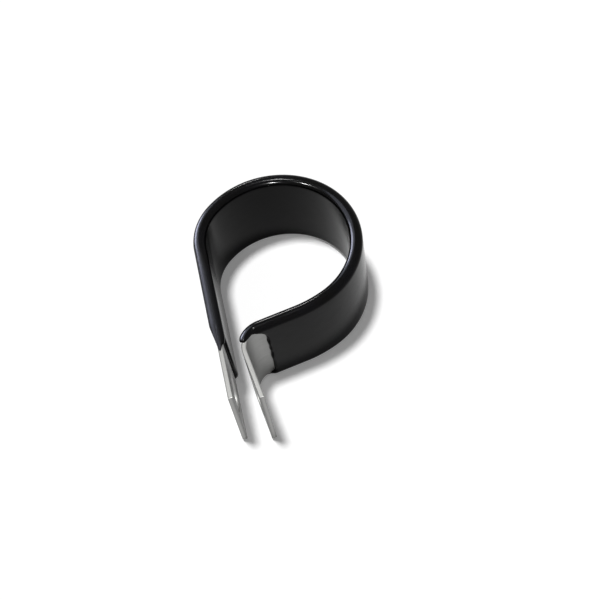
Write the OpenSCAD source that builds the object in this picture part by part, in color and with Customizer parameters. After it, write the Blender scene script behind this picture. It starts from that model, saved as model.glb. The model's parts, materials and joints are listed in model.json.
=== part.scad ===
// P clip: a flat metal strip bent round a cable into a P, with a fixing hole in each of its two tabs.
// A plastic skin is dipped over the strip, all but its two ends.
// The cable runs along Z. The origin is on the cable's axis, half-way up the strip.

/* [Strip] */
// Width of the metal strip
strip_w = 15; // [12:0.5:20]
// Thickness of the metal strip
strip_t = 0.8; // [0.6:0.05:1.1]
// Rounding along the strip's slit edges
slit_r = 0.15; // [0.05:0.05:0.25]

/* [Cable loop] */
// Diameter of the cable that the coated loop holds
cable_d = 22.5; // [20:0.5:28]
// Radius of the tight shoulder between the long tab and the crown, at the strip's middle
shoulder_r = 8.9; // [7:0.1:10]
// Turn of the shoulder in degrees
shoulder_turn = 49; // [42:1:54]
// Turn of the crown, the flatter arc over the cable, in degrees
crown_turn = 84; // [78:1:90]
// Turn of the seat, the arc that fits the cable, in degrees
seat_turn = 112; // [109:1:116]

/* [Neck and tabs] */
// Radius of the neck where it eases away from the cable, at the strip's middle
neck_r = 20; // [15:0.5:26]
// Turn of the neck in degrees
neck_turn = 15.5; // [10:0.5:18]
// Radius of the sharp bend between the neck and the short tab, at the strip's middle
bend_r = 3.5; // [2.6:0.1:4.2]
// Narrowest gap between the bare faces of the two tabs
tab_gap = 2.7; // [2:0.1:4]
// Angle in degrees by which the short tab leans away from the long one
tab_splay = 7.5; // [2:0.5:10]
// Flat length of the short tab
tab_len = 8.1; // [7.8:0.1:12]
// How far the long tab's end stands back from the short tab's end
end_step = 1; // [0:0.1:2]

/* [Fixing holes] */
// Diameter of the fixing hole in each tab
hole_d = 6.5; // [4.3:0.1:7]
// Distance of each hole's centre from the end of its tab
hole_inset = 4.6; // [4:0.1:5.5]

/* [Coating] */
// Thickness of the coating on the strip's two faces
coat_t = 0.65; // [0.4:0.05:0.8]
// Thickness of the coating over the strip's two edges
coat_edge = 0.5; // [0.3:0.05:0.8]
// Rounding of the coated rims
rim_r = 1; // [0.6:0.05:1.2]
// Bare length of the long tab's inner face
long_bare = 10.7; // [10:0.1:12]
// Bare length of the short tab's inner face, measured round the bend
short_bare = 10.1; // [9:0.1:12]
// Bare length of both outer faces, measured along the strip
outer_bare = 14.1; // [13:0.1:16]
// Corner radius of the bare patches on the outer faces
patch_r = 2.6; // [2:0.1:5]
// How far the coating's tip runs on towards the long tab's outer face
tip_run = 2.3; // [0.5:0.1:3]

/* [Hidden] */
$fn = 96;

// How far a cutter runs past what it cuts
over = 1;

half_t = strip_t / 2;
coat_half = half_t + coat_t;
coat_w = strip_w + 2 * coat_edge;
// The rim can't be rounder than a half circle over the coated strip
rim_used = min(rim_r, coat_half - 0.02);

// The seat's middle line, and the turn left to the clip's crown and neck
seat_r = cable_d / 2 + coat_half;
seat_start = shoulder_turn + crown_turn;
neck_head = 90 - seat_start - seat_turn - neck_turn;

// The crown's radius lays the long tab's coated face against the cable
crown_r = (seat_r * (1 - cos(seat_start)) - shoulder_r * (1 - cos(shoulder_turn)))
    / (cos(shoulder_turn) - cos(seat_start));

// Where the long tab ends and the shoulder starts, from the three loop arcs' centres
shoulder_y = (crown_r - shoulder_r) * sin(shoulder_turn) + (seat_r - crown_r) * sin(seat_start);

// Each row of the strip is [length, turn], with turn 0 for a straight and left turns positive
function bend(r, turn) = [r * abs(turn) * PI / 180, turn];
function row_radius(row) = row[0] / (abs(row[1]) * PI / 180);

// The pose [x, y, heading] a distance d along a row that starts at pose p
function ahead(p, row, d) = row[1] == 0
    ? [p.x + d * cos(p.z), p.y + d * sin(p.z), p.z]
    : let (
        r = row_radius(row) * sign(row[1]),
        h = p.z + row[1] * d / row[0]
    ) [p.x + r * (sin(h) - sin(p.z)), p.y - r * (cos(h) - cos(p.z)), h];

// The neck's flat runs on until the bend leaves tab_gap between the tabs
neck = bend(neck_r, -neck_turn);
seat_end = neck_head + neck_turn;
neck_end = ahead([-seat_r * sin(seat_end), seat_r * cos(seat_end), seat_end], neck, neck[0]);
bend_x = -seat_r + strip_t + tab_gap + bend_r;
neck_flat = (bend_x + bend_r * sin(neck_head) - neck_end.x) / cos(neck_head);
elbow = bend(bend_r, tab_splay - 90 - neck_head);
elbow_end = ahead(ahead(neck_end, [neck_flat, 0], neck_flat), elbow, elbow[0]);

// The long tab ends end_step short of the short tab's end
tab_end_y = elbow_end.y - tab_len * cos(tab_splay);
leg_len = shoulder_y - tab_end_y - end_step;

ROWS = [
    [leg_len, 0],
    bend(shoulder_r, -shoulder_turn),
    bend(crown_r, -crown_turn),
    bend(seat_r, -seat_turn),
    neck,
    [neck_flat, 0],
    elbow,
    [tab_len, 0]
];

// Distance along the strip's middle line, and the pose there, at the start of row i
function run(i) = i == 0 ? 0 : run(i - 1) + ROWS[i - 1][0];
function pose(i) = i == 0
    ? [-seat_r, shoulder_y - leg_len, 90]
    : ahead(pose(i - 1), ROWS[i - 1], ROWS[i - 1][0]);

// The pose a distance d along the strip from the long tab's end
function pose_at(d, i = 0) = d <= run(i + 1) || i == len(ROWS) - 1
    ? ahead(pose(i), ROWS[i], d - run(i))
    : pose_at(d, i + 1);

strip_len = run(len(ROWS));

// Puts its children at a pose, with X along the strip and Y towards its outer face
module at(p) {
    translate([p.x, p.y, 0]) rotate([0, 0, p.z]) children();
}

// One stretch of the strip from its own start: a straight, or part of a bend.
// Its child is the section, with X towards the outer face and Y up.
module stretch(length, row) {
    turn = row[1] * length / row[0];
    if (turn == 0)
        rotate([90, 0, 90]) linear_extrude(length) children();
    else if (turn < 0)
        translate([0, -row_radius(row), 0]) rotate([0, 0, 90 + turn])
            rotate_extrude(angle = -turn) translate([row_radius(row), 0]) children();
    else
        translate([0, row_radius(row), 0]) rotate([0, 0, -90])
            rotate_extrude(angle = turn) translate([row_radius(row), 0]) mirror([1, 0]) children();
}

// Carries the section given as its child along the strip between two distances
module along(from, to) {
    for (i = [0 : len(ROWS) - 1]) {
        a = max(from, run(i));
        b = min(to, run(i + 1));
        if (b - a > 0.001)
            at(ahead(pose(i), ROWS[i], a - run(i))) stretch(b - a, ROWS[i]) children();
    }
}

// A rectangle of size w by h about the origin, with round corners
module rounded_bar(w, h, r) {
    square([w, h - 2 * r], center = true);
    square([w - 2 * r, h], center = true);
    for (x = [-1, 1], y = [-1, 1]) translate([x * (w / 2 - r), y * (h / 2 - r)]) circle(r);
}

module strip_section() {
    rounded_bar(strip_t, strip_w, slit_r);
}

module coat_section() {
    rounded_bar(2 * coat_half, coat_w, rim_used);
}

module bare_strip() {
    along(0, strip_len) strip_section();
}

module fixing_hole(d) {
    at(pose_at(d)) rotate([90, 0, 0]) cylinder(d = hole_d, h = strip_t + 2 * over, center = true);
}

// Everything outside the strip's outer face between two distances.
// It starts inside the strip, so the coating over the edges ends just short of the outer face.
module outer_side(from, to) {
    depth = coat_half + over - half_t / 2;
    along(from, to) translate([half_t / 2, -coat_w / 2 - over]) square([depth, coat_w + 2 * over]);
}

// The outline of a bare patch: round corners at x = 0, and plain from there towards -x
module patch_outline() {
    r = patch_r + over;
    h = coat_w / 2 + over;
    rotate([90, 0, 0]) linear_extrude(2 * (coat_half + bend_r + over), center = true) {
        translate([-outer_bare - over, -h]) square([outer_bare + over - r, 2 * h]);
        translate([-r - over, r - h]) square([r + over, 2 * (h - r)]);
        for (y = [-1, 1]) translate([-r, y * (h - r)]) circle(r);
    }
}

// The bare patch on the long tab's outer face, and the one inside the sharp bend
module long_patch() {
    intersection() {
        outer_side(0, outer_bare + over);
        at(pose_at(outer_bare)) patch_outline();
    }
}

module short_patch() {
    intersection() {
        outer_side(strip_len - outer_bare - over, strip_len);
        at(pose_at(strip_len - outer_bare)) mirror([1, 0, 0]) patch_outline();
    }
}

// What is trimmed from the coating to draw it out into a tip on the long tab:
// the cut slants from the inner face to the strip's outer edge
module tip_trim() {
    slant = [-tip_run, coat_half + half_t];
    low = [0, -coat_half] - slant;
    high = [0, -coat_half] + 2 * slant;
    past = [3 * tip_run + over, 0];
    at(pose_at(long_bare)) linear_extrude(coat_w + 2 * over, center = true)
        polygon([low, high, high - past, low - past]);
}

module strap() {
    color([0.77, 0.77, 0.75]) difference() {
        bare_strip();
        fixing_hole(hole_inset);
        fixing_hole(strip_len - hole_inset);
    }
}

module coating() {
    color([0.1, 0.1, 0.11]) difference() {
        along(long_bare - 2 * tip_run, strip_len - short_bare) coat_section();
        bare_strip();
        tip_trim();
        long_patch();
        short_patch();
    }
}

strap();
coating();
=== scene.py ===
"""P clip: a metal strip bent into a P round a cable, its loop dipped in glossy black plastic."""
import json
import math

import bmesh
import bpy
from mathutils import Matrix, Quaternion, Vector, noise
from mathutils.kdtree import KDTree


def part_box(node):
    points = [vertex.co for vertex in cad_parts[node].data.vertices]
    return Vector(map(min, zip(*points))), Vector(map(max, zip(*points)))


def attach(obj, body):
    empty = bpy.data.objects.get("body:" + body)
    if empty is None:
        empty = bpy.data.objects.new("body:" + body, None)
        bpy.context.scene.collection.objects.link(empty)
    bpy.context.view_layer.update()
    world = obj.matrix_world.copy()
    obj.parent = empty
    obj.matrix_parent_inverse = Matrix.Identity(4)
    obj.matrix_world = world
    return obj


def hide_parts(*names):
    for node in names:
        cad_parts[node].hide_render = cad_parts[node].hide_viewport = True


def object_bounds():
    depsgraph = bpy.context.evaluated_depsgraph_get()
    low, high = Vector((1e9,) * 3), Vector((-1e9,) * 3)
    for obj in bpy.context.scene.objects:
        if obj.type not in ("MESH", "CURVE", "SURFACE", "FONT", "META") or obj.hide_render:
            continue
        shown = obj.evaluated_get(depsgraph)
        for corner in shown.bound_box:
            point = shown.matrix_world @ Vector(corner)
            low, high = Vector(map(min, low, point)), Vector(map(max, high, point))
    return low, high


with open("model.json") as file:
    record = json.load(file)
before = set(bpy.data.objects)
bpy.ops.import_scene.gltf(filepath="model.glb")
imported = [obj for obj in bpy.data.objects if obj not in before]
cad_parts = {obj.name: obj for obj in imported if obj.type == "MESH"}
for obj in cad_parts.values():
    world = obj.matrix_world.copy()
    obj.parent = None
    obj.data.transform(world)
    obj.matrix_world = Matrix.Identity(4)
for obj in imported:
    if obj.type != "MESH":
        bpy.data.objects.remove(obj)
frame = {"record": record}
cad_low, cad_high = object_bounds()

MM = 0.001
# Lengths in millimetres that differ by less than this are the same
SAME = 1e-4


# ---------------------------------------------------------------- sizes, in millimetres and degrees

def width_of(node):
    """How wide a CAD node is across the strip, which stands on its edge."""
    low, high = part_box(node)
    return (high.z - low.z) / MM


# The strip's section, its holes and the cable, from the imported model
MOUNTS = {mount["name"]: mount["dims"] for mount in frame["record"]["mounts"]}
STRIP_W = width_of("strap")
STRIP_T = MOUNTS["long_tab_hole"]["length_mm"]
HOLE_R = MOUNTS["long_tab_hole"]["r_mm"]
CABLE_R = MOUNTS["cable_loop"]["r_mm"]
COAT_W = width_of("coating")
COAT_T = 0.65
HALF_W = STRIP_W / 2
HALF_T = STRIP_T / 2
COAT_HALF_W = COAT_W / 2
COAT_HALF_T = HALF_T + COAT_T
# Roundings of the strip's slit edges, of its cut rims and of the coating's rims
SLIT_R = 0.15
BURR_R = 0.05
RIM_R = 1.0

# The bends, at the strip's middle, and the tabs
SHOULDER_R, SHOULDER_TURN = 8.9, 49
CROWN_TURN = 84
SEAT_TURN = 112
NECK_R, NECK_TURN = 20, 15.5
BEND_R = 3.5
TAB_GAP = 2.7
TAB_SPLAY = 7.5
TAB_LEN = 8.1
END_STEP = 1
HOLE_INSET = 4.6

# Where the coating ends on the long tab, from the strip's end: on the inner face and the lower
# edge, at the tip on the upper edge, and where the tip has grown to its full thickness
LONG_BARE = 10.7
LONG_TIP = 8.1
TIP_FULL = 12.8
# How far the tip slants back towards the inner and the outer face, and the lower edge's slant
TIP_SLANT_IN, TIP_SLANT_OUT = 1.1, 0.4
LOWER_SLANT = 0.3
# How far in from the strip's edge the tip starts
TIP_W = 0.7

# Where it ends on the short tab, from the strip's other end: on the inner face, on both edges,
# and on the outer sides of the upper and the lower edge
SHORT_BARE = 10.3
SHORT_EDGE = 9.7
SHORT_UPPER = 10.1
SHORT_LOWER = 12.9
# How far in from the strip's edge the coating starts to run on along it
FINGER_W = 0.5

# The bare patches on the outer faces, the radii of their corners and the waviness of their lines
PATCH = 14.1
PATCH_R = 2.6
SHORT_PATCH_UPPER_R, SHORT_PATCH_LOWER_R = 3.1, 1.3
PATCH_WAVE = 0.2

# How round the coating's lips are, and how unevenly it set, as a share of its thickness
LIP_R = 0.5
SAG = 0.03


def sin(degrees):
    return math.sin(math.radians(degrees))


def cos(degrees):
    return math.cos(math.radians(degrees))


def clamp(x, low=0.0, high=1.0):
    return min(max(x, low), high)


def smooth(x):
    """Eases from 0 to 1 as x goes from 0 to 1."""
    x = clamp(x)
    return x * x * (3 - 2 * x)


# ---------------------------------------------------------------- the strip's path

def bend(radius, turn):
    """A bent row of the strip as (length, turn); left turns are positive."""
    return radius * math.radians(abs(turn)), turn


def ahead(pose, row, distance):
    """The pose (x, y, heading) a distance along a row that starts at pose."""
    x, y, heading = pose
    length, turn = row
    if turn == 0:
        return x + distance * cos(heading), y + distance * sin(heading), heading
    radius = length / math.radians(turn)
    end = heading + turn * distance / length
    return x + radius * (sin(end) - sin(heading)), y - radius * (cos(end) - cos(heading)), end


def strip_rows():
    """The strip's rows from the long tab's end, and the pose that each one starts at."""
    seat_r = CABLE_R + COAT_HALF_T
    seat_start = SHOULDER_TURN + CROWN_TURN
    crown_r = (seat_r * (1 - cos(seat_start)) - SHOULDER_R * (1 - cos(SHOULDER_TURN))) / (
        cos(SHOULDER_TURN) - cos(seat_start))
    shoulder_y = (crown_r - SHOULDER_R) * sin(SHOULDER_TURN) + (seat_r - crown_r) * sin(seat_start)
    neck = bend(NECK_R, -NECK_TURN)
    seat_end = 90 - seat_start - SEAT_TURN
    neck_head = seat_end - NECK_TURN
    neck_end = ahead((-seat_r * sin(seat_end), seat_r * cos(seat_end), seat_end), neck, neck[0])
    bend_x = -seat_r + STRIP_T + TAB_GAP + BEND_R
    neck_flat = (bend_x + BEND_R * sin(neck_head) - neck_end[0]) / cos(neck_head)
    elbow = bend(BEND_R, TAB_SPLAY - 90 - neck_head)
    elbow_end = ahead(ahead(neck_end, (neck_flat, 0), neck_flat), elbow, elbow[0])
    tab_end_y = elbow_end[1] - TAB_LEN * cos(TAB_SPLAY)
    leg = shoulder_y - tab_end_y - END_STEP
    rows = [(leg, 0), bend(SHOULDER_R, -SHOULDER_TURN), bend(crown_r, -CROWN_TURN),
            bend(seat_r, -SEAT_TURN), neck, (neck_flat, 0), elbow, (TAB_LEN, 0)]
    poses = [(-seat_r, shoulder_y - leg, 90)]
    for row in rows:
        poses.append(ahead(poses[-1], row, row[0]))
    return rows, poses


ROWS, POSES = strip_rows()
STARTS = [sum(row[0] for row in ROWS[:i]) for i in range(len(ROWS) + 1)]
# The leg is the first row, and the elbow is the last but one
LEG_END = STARTS[1]
ELBOW_START, ELBOW_END, STRIP_LEN = STARTS[-3:]
COAT_START, COAT_END = LONG_TIP, STRIP_LEN - SHORT_EDGE


def on_path(s, n, z):
    """Carries a point of the flat strip, s along it and n towards its outer face, onto the bent one."""
    i = max(k for k in range(len(ROWS)) if k == 0 or STARTS[k] <= s)
    x, y, heading = ahead(POSES[i], ROWS[i], s - STARTS[i])
    return Vector((x - n * sin(heading), y + n * cos(heading), z)) * MM


def stations(low, high, step, elbow_step):
    """Distances along the strip that are close together in the elbow and just beside it."""
    before, after = 0.6, 0.4
    cuts = []
    s = low
    while s < high - SAME:
        cuts.append(s)
        near_elbow = ELBOW_START - before < s < ELBOW_END + after
        s += elbow_step if near_elbow else step
    if high - cuts[-1] < step / 3:
        cuts.pop()
    return cuts + [high]


# ---------------------------------------------------------------- shared mesh steps

def span(edge, axis):
    """How far a mesh edge reaches along one axis."""
    a, b = edge.verts
    return abs(a.co[axis] - b.co[axis])


def points_of(geometry):
    """The points among what an operator made."""
    return [g for g in geometry if isinstance(g, bmesh.types.BMVert)]


def section_ring(half_t, half_w, corner_r):
    """A mesh of edges alone: the outline of a bar with round corners, across the strip's start."""
    corner_steps, face_cuts, edge_cuts = 10, 36, 2
    bm = bmesh.new()
    corners = [bm.verts.new((0, n * half_t, z * half_w))
               for n, z in ((-1, -1), (1, -1), (1, 1), (-1, 1))]
    bm.faces.new(corners)
    bmesh.ops.bevel(bm, geom=corners, offset=corner_r, offset_type="OFFSET", affect="VERTICES",
                    segments=corner_steps, profile=0.5, material=-1)
    bmesh.ops.delete(bm, geom=bm.faces[:], context="FACES_ONLY")
    for axis, half, cuts in ((2, half_w, face_cuts), (1, half_t, edge_cuts)):
        flat = 2 * (half - corner_r)
        sides = [e for e in bm.edges if span(e, axis) > 0.95 * flat and span(e, 3 - axis) < SAME]
        bmesh.ops.subdivide_edges(bm, edges=sides, cuts=cuts)
    return bm


def sleeve(bm, rings):
    """Extrudes a mesh of edges along the strip, with a ring of points at each given distance."""
    # The most cuts that one subdivision of an edge may take
    most_cuts = 80
    edges = bm.edges[:]
    # The rings are made one unit apart, and only then moved to their distances
    for done in range(0, len(rings) - 1, most_cuts):
        steps = min(most_cuts, len(rings) - 1 - done)
        grown = bmesh.ops.extrude_edge_only(bm, edges=edges)["geom"]
        bmesh.ops.translate(bm, verts=points_of(grown), vec=(steps, 0, 0))
        nearly = done + steps - 0.5
        lengthwise = [e for e in bm.edges
                      if span(e, 0) > 0.5 and max(v.co.x for v in e.verts) > nearly]
        if steps > 1:
            bmesh.ops.subdivide_edges(bm, edges=lengthwise, cuts=steps - 1, use_grid_fill=True)
        edges = [e for e in bm.edges if all(v.co.x > nearly for v in e.verts)]
    for v in bm.verts:
        v.co.x = rings[round(v.co.x)]


def add_mesh(bm, other):
    """Moves another mesh into bm."""
    mesh = bpy.data.meshes.new("part")
    other.to_mesh(mesh)
    other.free()
    bm.from_mesh(mesh)
    bpy.data.meshes.remove(mesh)


def finish_piece(name, bm, sharp_angle):
    """Makes a piece of the clip from its closed mesh, with its faces turned outwards."""
    bmesh.ops.recalc_face_normals(bm, faces=bm.faces)
    if bm.calc_volume(signed=True) < 0:
        bmesh.ops.reverse_faces(bm, faces=bm.faces)
    mesh = bpy.data.meshes.new(name)
    bm.to_mesh(mesh)
    bm.free()
    mesh.shade_smooth()
    mesh.set_sharp_from_angle(angle=math.radians(sharp_angle))
    piece = bpy.data.objects.new(name, mesh)
    bpy.context.scene.collection.objects.link(piece)
    return piece


# ---------------------------------------------------------------- strap

# The strap's finishes, in the order of its material slots
ROLLED_FACE, SLIT_EDGE, CROPPED_END, PUNCHED_HOLE = range(4)


def tab_plate(bm, low, high, hole_s):
    """One flat end of the strip with its fixing hole, as a single sheet."""
    corners = [bm.verts.new((s, -HALF_T, z))
               for s, z in ((low, -HALF_W), (high, -HALF_W), (high, HALF_W), (low, HALF_W))]
    edges = [bm.edges.new((corners[i], corners[i - 1])) for i in range(4)]
    turn = Matrix.Translation((hole_s, -HALF_T, 0)) @ Matrix.Rotation(math.radians(90), 4, "X")
    hole = bmesh.ops.create_circle(bm, cap_ends=False, radius=HOLE_R, segments=96, matrix=turn)
    edges += list({e for v in hole["verts"] for e in v.link_edges})
    bmesh.ops.triangle_fill(bm, use_beauty=True, use_dissolve=False, edges=edges, normal=(0, 1, 0))


def flat_strip():
    """The strip with its two holes before it is bent: its inner face, thickened outwards."""
    bm = bmesh.new()
    long_joint = 2 * HOLE_INSET
    short_joint = STRIP_LEN - TAB_LEN
    bm.edges.new([bm.verts.new((0, -HALF_T, z)) for z in (-HALF_W, HALF_W)])
    sleeve(bm, stations(long_joint, short_joint, step=0.8, elbow_step=0.15))
    tab_plate(bm, 0, long_joint, HOLE_INSET)
    tab_plate(bm, short_joint, STRIP_LEN, STRIP_LEN - HOLE_INSET)
    bmesh.ops.remove_doubles(bm, verts=bm.verts, dist=SAME)
    bmesh.ops.recalc_face_normals(bm, faces=bm.faces)
    grown = bmesh.ops.extrude_face_region(bm, geom=bm.faces[:])["geom"]
    bmesh.ops.translate(bm, verts=points_of(grown), vec=(0, STRIP_T, 0))
    bmesh.ops.recalc_face_normals(bm, faces=bm.faces)
    return bm


def round_over(bm, edges, radius, segments):
    bmesh.ops.bevel(bm, geom=edges, offset=radius, offset_type="OFFSET", affect="EDGES",
                    segments=segments, profile=0.5, material=-1)


def on_slit_edge(e):
    """Whether a mesh edge runs along one of the strip's long edges."""
    return abs(abs(e.verts[0].co.z) - HALF_W) < SAME and span(e, 2) < SAME and span(e, 1) < SAME


def finish_of(face):
    """The finish of a face of the flat strip."""
    if abs(face.normal.y) > 0.75:
        return ROLLED_FACE
    s, _, z = face.calc_center_median()
    from_end = min(s, STRIP_LEN - s)
    if math.hypot(from_end - HOLE_INSET, z) < HOLE_R + 2 * BURR_R:
        return PUNCHED_HOLE
    return SLIT_EDGE if abs(face.normal.z) > 0.5 else CROPPED_END


def laid_out(face, s, n, z):
    """A point's place on the strip's faces, slit edges and cut walls, laid out flat and apart."""
    edges_at = 30
    walls_at = (200, 60)
    if abs(face.normal.x) >= 0.5:
        return n + walls_at[0], z + walls_at[1]
    return s, z if abs(face.normal.y) > 0.5 else n + edges_at


def make_strap():
    bm = flat_strip()
    round_over(bm, [e for e in bm.edges if on_slit_edge(e)], SLIT_R, segments=4)
    rims = [e for e in bm.edges if e.calc_face_angle(0) > math.radians(70)]
    round_over(bm, rims, BURR_R, segments=2)
    bmesh.ops.remove_doubles(bm, verts=bm.verts, dist=BURR_R / 10)

    # The map is in centimetres
    uv = bm.loops.layers.uv.new("along_strip")
    for face in bm.faces:
        face.material_index = finish_of(face)
        for loop in face.loops:
            loop[uv].uv = Vector(laid_out(face, *loop.vert.co)) / 10
    # 0 at the inner face and 1 at the outer one
    depth = bm.verts.layers.float.new("depth")
    for v in bm.verts:
        v[depth] = v.co.y / STRIP_T + 0.5
        v.co = on_path(*v.co)
    piece = finish_piece("strap_metal", bm, sharp_angle=38)
    weighted = piece.modifiers.new("even_faces", "WEIGHTED_NORMAL")
    weighted.keep_sharp = True
    return piece


# ---------------------------------------------------------------- coating

def onto_strip(n, z):
    """The point of the strip's section that lies under a point of the coating's section."""
    core_n, core_z = COAT_HALF_T - RIM_R, COAT_HALF_W - RIM_R
    at_n, at_z = clamp(n, -core_n, core_n), clamp(z, -core_z, core_z)
    out_n, out_z = (n - at_n) / RIM_R, (z - at_z) / RIM_R
    return (at_n * (HALF_T - SLIT_R) / core_n + SLIT_R * out_n,
            at_z * (HALF_W - SLIT_R) / core_z + SLIT_R * out_z)


def patch_line(z, corner_r):
    """How far a bare patch reaches at a height z, with the slight waviness of a torn-off mask."""
    past = max(0.0, abs(z) - (HALF_W - corner_r))
    wave_len = 1.8
    wave = PATCH_WAVE * noise.noise(Vector((z / wave_len, corner_r, 0)))
    return PATCH + wave - corner_r + math.sqrt(max(0.0, corner_r ** 2 - past ** 2))


def onto_patch(line, n, z, corner_r):
    """Turns an end line from the strip's edge to the bare patch on its outer face."""
    if n < HALF_T - SLIT_R:
        return line
    return line + (patch_line(z, corner_r) - line) * smooth((HALF_W - abs(z)) / SLIT_R)


def long_end(n, z):
    """Where along the strip the coating starts, at a point of the strip's section."""
    across = clamp(n / HALF_T, -1)
    if z > 0:
        edge = LONG_TIP + max(TIP_SLANT_OUT * across, -TIP_SLANT_IN * across)
    else:
        edge = LONG_BARE - LOWER_SLANT * across
    line = LONG_BARE + (edge - LONG_BARE) * smooth((abs(z) - HALF_W + TIP_W) / TIP_W)
    return onto_patch(line, n, z, PATCH_R)


def short_end(n, z):
    """Where along the strip the coating stops, at a point of the strip's section."""
    dip = (SHORT_BARE - SHORT_EDGE) * smooth((abs(z) - HALF_W + FINGER_W) / FINGER_W)
    rise = (SHORT_UPPER if z > 0 else SHORT_LOWER) - SHORT_EDGE
    line = SHORT_BARE - dip + rise * smooth(n / HALF_T)
    corner_r = SHORT_PATCH_UPPER_R if z > 0 else SHORT_PATCH_LOWER_R
    return STRIP_LEN - onto_patch(line, n, z, corner_r)


def line_tree(end, columns):
    """One end line of the coating as close points on the strip, in a tree that finds the nearest."""
    steps = 8
    tree = KDTree(steps * len(columns))
    for i, column in enumerate(columns):
        a, b = onto_strip(*columns[i - 1]), onto_strip(*column)
        for k in range(steps):
            n, z = (a[axis] + (b[axis] - a[axis]) * k / steps for axis in (0, 1))
            tree.insert((end(n, z), n, z), steps * i + k)
    tree.balance()
    return tree


def pulled(s, n, z):
    """Slides a point of the even sleeve along the strip, to bring its two ends onto their lines."""
    reach = 13.0
    to_long = long_end(n, z) - COAT_START
    to_short = short_end(n, z) - COAT_END
    return (s + to_long * (1 - smooth((s - COAT_START) / reach))
            + to_short * (1 - smooth((COAT_END - s) / reach)))


def fullness(s, n, z, lines):
    """The share of its full thickness that the coating has over a point of the strip's surface."""
    from_long, from_short = (line.find((s, n, z))[2] for line in lines)
    # Along the long tab's outer corner the coating stands up at once
    corner_w = 0.06
    corner = smooth((abs(z) - HALF_W + SLIT_R) / corner_w) * smooth(n / HALF_T)
    from_long += corner * (s - long_end(n, z) - from_long)
    lip = min(from_long / LIP_R, from_short / LIP_R, 1.0)
    # All round but on the inner face it thins out towards the long tab's tip
    side_w, thinnest = 0.5, 0.08
    outside = smooth((n + HALF_T) / side_w)
    taper = clamp((s - LONG_TIP) / (TIP_FULL - LONG_TIP), thinnest)
    return math.sqrt(1 - (1 - lip) ** 2) * (1 - outside * (1 - taper))


def sag(s, n, z):
    """The share of its thickness that the coating has lost here by running down before it set."""
    slow = noise.noise(Vector((s / 7, n / 2, z / 6)))
    quick = noise.noise(Vector((s / 2.5, n, z / 2.2)))
    return SAG * (1 + slow + quick / 2) / 2


def rub(s, n):
    """How much handling has dulled the coating: most of the leg, but not its inner face."""
    fade_start, fade_end = 0.7 * LEG_END, 1.2 * LEG_END
    side_w = 0.3
    return (1 - smooth((s - fade_start) / (fade_end - fade_start))) * smooth((n + COAT_HALF_T) / side_w)


def make_coating():
    # The rings stand close together where the lips are rounded
    lip_rings = [0, 0.02, 0.05, 0.1, 0.17, 0.26, 0.36, 0.48, 0.62, 0.8]
    lip_len = 1.05
    rings = ([COAT_START + d for d in lip_rings]
             + stations(COAT_START + lip_len, COAT_END - lip_len, step=0.33, elbow_step=0.16)
             + [COAT_END - d for d in reversed(lip_rings)])
    bm = section_ring(COAT_HALF_T, COAT_HALF_W, RIM_R)
    columns = sorted({(round(v.co.y, 5), round(v.co.z, 5)) for v in bm.verts},
                     key=lambda column: math.atan2(column[1], column[0]))
    lines = [line_tree(end, columns) for end in (long_end, short_end)]
    sleeve(bm, rings)
    lining = section_ring(HALF_T, HALF_W, SLIT_R)
    sleeve(lining, stations(COAT_START, COAT_END, step=1.0, elbow_step=0.4))
    add_mesh(bm, lining)

    rubbed = bm.verts.layers.float.new("rubbed")
    for v in bm.verts:
        s, n, z = v.co
        on_metal = abs(n) < HALF_T + SAME and abs(z) < HALF_W + SAME
        at_end = min(s - COAT_START, COAT_END - s) < SAME
        under_n, under_z = (n, z) if on_metal else onto_strip(n, z)
        s = pulled(s, under_n, under_z)
        thick = 0.0
        if not (on_metal or at_end):
            thick = fullness(s, under_n, under_z, lines) * (1 - sag(s, n, z))
        v[rubbed] = rub(s, n)
        v.co = on_path(s, under_n + (n - under_n) * thick, under_z + (z - under_z) * thick)
    # From here on the mesh is in metres
    bmesh.ops.remove_doubles(bm, verts=bm.verts, dist=SAME * MM)
    return finish_piece("dipped_coating", bm, sharp_angle=60)


# ---------------------------------------------------------------- finishes

def feed(tree, node, inputs):
    """Gives a node's inputs their values, or the outputs that feed them."""
    for name, value in inputs.items():
        if isinstance(value, bpy.types.NodeSocket):
            tree.links.new(value, node.inputs[name])
        else:
            node.inputs[name].default_value = value


def add_node(tree, kind, inputs, **settings):
    node = tree.nodes.new(kind)
    for name, value in settings.items():
        setattr(node, name, value)
    feed(tree, node, inputs)
    return node


def new_material(name):
    material = bpy.data.materials.new(name)
    material.use_nodes = True
    return material, material.node_tree, material.node_tree.nodes["Principled BSDF"]


def coordinate(tree, kind):
    return add_node(tree, "ShaderNodeTexCoord", {}).outputs[kind]


def attribute(tree, name):
    return add_node(tree, "ShaderNodeAttribute", {}, attribute_name=name).outputs["Fac"]


def ramp(tree, source, stops):
    """Turns a value into a colour or tone: stops lists each position with what it has there."""
    node = add_node(tree, "ShaderNodeValToRGB", {"Fac": source})
    while len(node.color_ramp.elements) < len(stops):
        node.color_ramp.elements.new(0.5)
    for element, (position, colour) in zip(node.color_ramp.elements, stops):
        element.position = position
        element.color = (*colour, 1) if isinstance(colour, tuple) else (colour, colour, colour, 1)
    return node.outputs["Color"]


def grain(tree, vector, scale, detail, roughness=0.5):
    inputs = {"Vector": vector, "Scale": scale, "Detail": detail, "Roughness": roughness}
    return add_node(tree, "ShaderNodeTexNoise", inputs).outputs["Fac"]


def bump(tree, height, strength, distance):
    inputs = {"Height": height, "Strength": strength, "Distance": distance}
    return add_node(tree, "ShaderNodeBump", inputs).outputs["Normal"]


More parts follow.
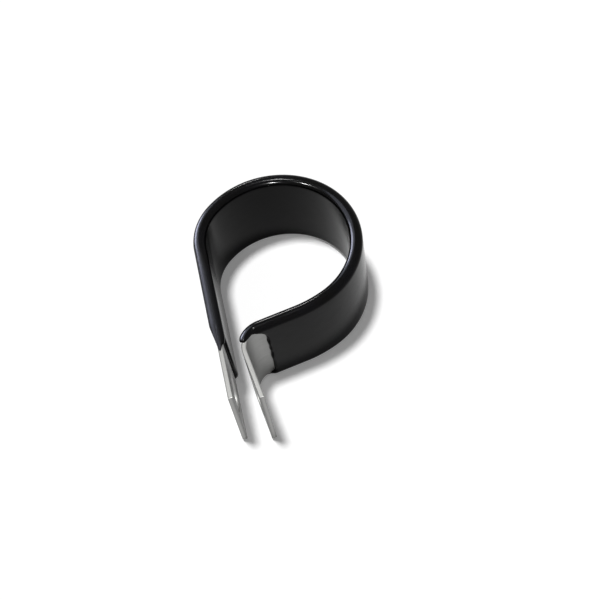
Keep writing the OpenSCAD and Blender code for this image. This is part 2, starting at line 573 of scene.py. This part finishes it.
def dipped_plastic():
    """Glossy black plastic with a faint orange peel, duller where it is rubbed."""
    material, tree, shader = new_material("dipped_plastic")
    where = coordinate(tree, "Object")
    tint = ramp(tree, grain(tree, where, scale=180, detail=3),
                [(0.35, (0.0026, 0.0024, 0.0022)), (0.65, (0.0036, 0.0036, 0.0044))])
    gloss = ramp(tree, grain(tree, where, scale=260, detail=4), [(0.3, 0.12), (0.7, 0.18)])
    dulling = 0.35
    dulled = add_node(tree, "ShaderNodeMath", {0: attribute(tree, "rubbed"), 1: dulling, 2: gloss},
                      operation="MULTIPLY_ADD")
    peel = grain(tree, where, scale=700, detail=1)
    feed(tree, shader, {
        "IOR": 1.13,
        "Base Color": tint,
        "Roughness": dulled.outputs[0],
        "Normal": bump(tree, peel, strength=0.1, distance=0.0001)})
    return material


def lined_metal(name, tints, finish, stretch, lines, relief, bands=None):
    """Bare metal with fine lines along the strip.

    The lines are a grain, given by its scale, detail and roughness. Both the tints and the finish
    are a pair, for the grain's lows and its highs. The bands are tones through the strip, from
    its inner face outwards.
    """
    material, tree, shader = new_material(name)
    place = add_node(tree, "ShaderNodeMapping", {"Vector": coordinate(tree, "UV"), "Scale": stretch})
    marks = grain(tree, place.outputs["Vector"], *lines)
    low, high = 0.3, 0.7
    tint = ramp(tree, marks, [(low, tints[0]), (high, tints[1])])
    if bands:
        tone = ramp(tree, attribute(tree, "depth"), bands)
        tint = add_node(tree, "ShaderNodeMix", {"Factor": 1, "A": tint, "B": tone},
                        data_type="RGBA", blend_type="MULTIPLY").outputs["Result"]
    feed(tree, shader, {
        "Metallic": 1,
        "Base Color": tint,
        "Roughness": ramp(tree, marks, [(low, finish[0]), (high, finish[1])]),
        "Normal": bump(tree, marks, strength=relief, distance=0.00005)})
    return material


def rolled_face():
    """The strip's faces, dull from the rolling mill."""
    return lined_metal("rolled_face", ((0.22, 0.22, 0.215), (0.29, 0.29, 0.285)), (0.52, 0.4),
                       stretch=(1.2, 60, 1), lines=(1.6, 6, 0.65), relief=0.15)


def cut_metal(name, tints, finish, bands=None):
    """Metal that a blade or a punch has cut."""
    return lined_metal(name, tints, finish, stretch=(2, 60, 1), lines=(2, 5, 0.6), relief=0.2,
                       bands=bands)


def slit_edge():
    """The strip's long edges, bright and a little darker at both corners."""
    return cut_metal("slit_edge", ((0.26, 0.26, 0.252), (0.33, 0.33, 0.322)), (0.32, 0.26),
                     [(0.1, 0.85), (0.3, 1.05), (0.7, 1.0), (0.9, 0.85)])


def cropped_end():
    """The strip's ends, cropped with a dark band on the inner side and a light one outside."""
    return cut_metal("cropped_end", ((0.22, 0.22, 0.215), (0.28, 0.28, 0.275)), (0.5, 0.42),
                     [(0.0, 0.6), (0.25, 0.85), (0.5, 1.25), (0.8, 1.2), (1.0, 0.8)])


def punched_hole():
    """The walls of the fixing holes."""
    return cut_metal("punched_hole", ((0.33, 0.33, 0.32), (0.42, 0.42, 0.41)), (0.48, 0.4))


# ---------------------------------------------------------------- studio

def seen_directly(tree):
    """1 for the rays that show a surface itself: from the camera, mirrored or let through."""
    path = add_node(tree, "ShaderNodeLightPath", {}).outputs
    seen = path["Is Camera Ray"]
    for name in ("Is Glossy Ray", "Is Transmission Ray"):
        most = add_node(tree, "ShaderNodeMath", {0: seen, 1: path[name]}, operation="MAXIMUM")
        seen = most.outputs[0]
    return seen


def make_surround():
    """A surround that looks white and adds a little soft light."""
    world = bpy.data.worlds.new("studio")
    bpy.context.scene.world = world
    world.use_nodes = True
    tree = world.node_tree
    soft_light, white = 0.1, 1.0
    level = add_node(tree, "ShaderNodeMix",
                     {"Factor": seen_directly(tree), "A": soft_light, "B": white}, data_type="FLOAT")
    feed(tree, tree.nodes["Background"],
         {"Color": (1, 1, 1, 1), "Strength": level.outputs["Result"]})


def make_floor():
    """A pale matt floor under the clip, which looks white but for the shadow."""
    half_width, glow = 4, 0.18
    bm = bmesh.new()
    bmesh.ops.create_grid(bm, x_segments=1, y_segments=1, size=half_width)
    bmesh.ops.translate(bm, verts=bm.verts, vec=(0, 0, cad_low.z))
    mesh = bpy.data.meshes.new("floor")
    bm.to_mesh(mesh)
    bm.free()
    floor = bpy.data.objects.new("floor", mesh)
    bpy.context.scene.collection.objects.link(floor)
    material, tree, shader = new_material("pale_floor")
    lift = add_node(tree, "ShaderNodeMath", {0: seen_directly(tree), 1: glow}, operation="MULTIPLY")
    feed(tree, shader, {
        "Base Color": (0.9, 0.9, 0.9, 1),
        "Roughness": 1,
        "Specular IOR Level": 0,
        "Emission Color": (1, 1, 1, 1),
        "Emission Strength": lift.outputs[0]})
    mesh.materials.append(material)


def lamp(name, towards, width, energy, colour=(1, 1, 1)):
    """A far lamp in the given direction, width degrees across."""
    light = bpy.data.lights.new(name, "SUN")
    light.energy = energy
    light.angle = math.radians(width)
    light.color = colour
    holder = bpy.data.objects.new(name, light)
    holder.rotation_mode = "QUATERNION"
    holder.rotation_quaternion = (-Vector(towards)).to_track_quat("-Z", "Y")
    bpy.context.scene.collection.objects.link(holder)
    return holder


def make_studio():
    bpy.context.scene.view_settings.view_transform = "Standard"
    make_surround()
    make_floor()
    # A white floor square to the key lamp alone would render at 0.87
    lamp("key", towards=(-1.5, 1.55, 16), width=7, energy=0.87 * math.pi)


def light_gloss(coating):
    """Lamps that only show as reflections, and only in the glossy coating."""
    glossy = bpy.data.collections.new("glossy")
    glossy.objects.link(coating)
    for name, towards, width, energy, colour in (
            ("window", (-0.62, 0.55, 0.56), 60, 9.5, (0.8, 0.84, 1.0)),
            ("window_pane", (-0.62, 0.72, 0.3), 31, 12.0, (0.75, 0.78, 1.0)),
            ("left", (-0.53, -0.25, 0.81), 5, 7.0, (1, 1, 1)),
            ("front", (-0.21, -0.78, 0.59), 4, 11.0, (1, 1, 1)),
            ("back", (-0.06, 0.88, 0.47), 6, 1.3, (1, 1, 1)),
            ("top", (-0.09, 0.16, 0.98), 6, 0.4, (1, 1, 1))):
        holder = lamp(name, towards, width, energy, colour)
        holder.visible_diffuse = False
        holder.light_linking.receiver_collection = glossy


def make_camera():
    """A camera that looks down on the clip from the tabs' side, a little rolled."""
    azimuth, elevation, roll = -1.27, 59.34, -12.39
    target = Vector((1.274, -6.585, 0)) * MM
    distance = 201.5 * MM
    back = Vector((sin(azimuth) * cos(elevation), -cos(azimuth) * cos(elevation), sin(elevation)))
    camera = bpy.data.cameras.new("camera")
    camera.sensor_width = 36
    camera.lens = 75.32
    camera.clip_start, camera.clip_end = 0.01, 20
    holder = bpy.data.objects.new("camera", camera)
    holder.location = target + back * distance
    holder.rotation_mode = "QUATERNION"
    level = (-back).to_track_quat("-Z", "Y")
    holder.rotation_quaternion = level @ Quaternion((0, 0, 1), math.radians(roll))
    bpy.context.scene.collection.objects.link(holder)
    bpy.context.scene.camera = holder


# ---------------------------------------------------------------- the clip

make_camera()
make_studio()

strap = make_strap()
for finish in (rolled_face(), slit_edge(), cropped_end(), punched_hole()):
    strap.data.materials.append(finish)
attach(strap, "root")
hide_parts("strap")

coating = make_coating()
coating.data.materials.append(dipped_plastic())
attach(coating, "root")
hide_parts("coating")
light_gloss(coating)
